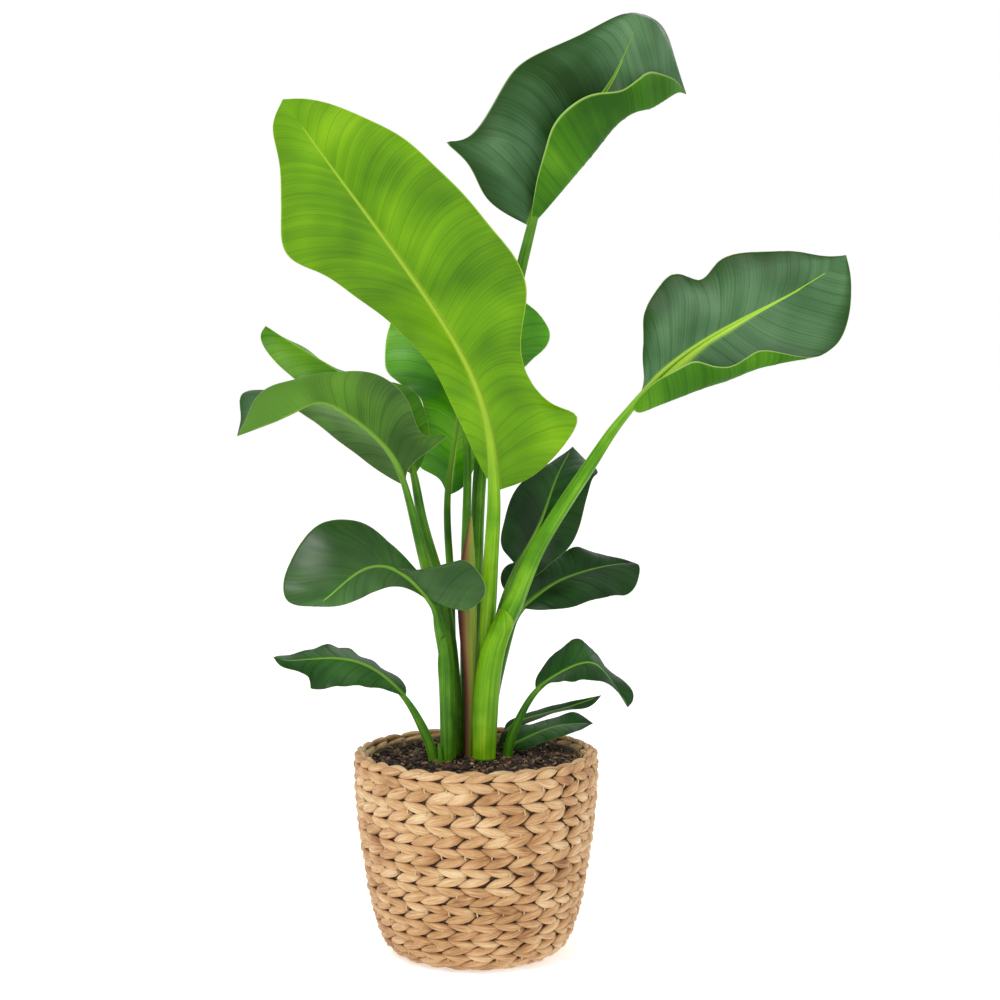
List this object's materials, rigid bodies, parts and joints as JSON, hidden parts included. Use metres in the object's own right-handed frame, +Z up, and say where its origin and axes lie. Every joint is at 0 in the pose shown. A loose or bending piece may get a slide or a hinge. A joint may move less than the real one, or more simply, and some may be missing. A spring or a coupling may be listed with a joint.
{
  "type": "potted bird of paradise",
  "caption": "Potted bird of paradise: broad paddle leaves on long stalks rising from soil in a round woven basket with a rolled rim.",
  "frame": {"origin": "middle of the basket's flat underside, on the basket's axis", "axes": "+Z up along the basket's axis, +X to the right seen from the front, +Y to the back"},
  "size_m": [0.5819, 0.2913, 0.9563],
  "materials": {
    "weave": "dry plaited water hyacinth, matt with a faint sheen",
    "liner": "thin film",
    "soil": "moist bark potting mix, matt",
    "young_leaf": "waxy, half gloss",
    "bright_leaf": "waxy, half gloss",
    "grown_leaf": "waxy, half gloss",
    "low_leaf": "waxy, half gloss",
    "young_stalk": "smooth waxy",
    "stalk": "smooth waxy",
    "sheath": "papery, half dry"
  },
  "bodies": {
    "root": {"basket_wall": "weave", "basket_base": "weave", "basket_liner": "liner", "potting_soil": "soil", "blade_front": "young_leaf", "stalk_front": "young_stalk", "blade_top": "grown_leaf", "stalk_top": "stalk", "blade_centre": "bright_leaf", "stalk_centre": "stalk", "blade_inner": "grown_leaf", "stalk_inner": "stalk", "blade_right": "grown_leaf", "stalk_right": "young_stalk", "blade_arching": "grown_leaf", "stalk_arching": "stalk", "blade_rear_left": "grown_leaf", "stalk_rear_left": "stalk", "blade_twisted": "grown_leaf", "stalk_twisted": "stalk", "blade_low_left": "low_leaf", "stalk_low_left": "stalk", "blade_low_right": "low_leaf", "stalk_low_right": "stalk", "blade_low_broad": "low_leaf", "stalk_low_broad": "stalk", "blade_low_narrow": "low_leaf", "stalk_low_narrow": "stalk", "blade_mid_right": "low_leaf", "stalk_mid_right": "stalk", "blade_mid_lower": "low_leaf", "stalk_mid_lower": "stalk", "new_leaf_sheath": "sheath", "sprout": "stalk"}
  },
  "joints": []
}
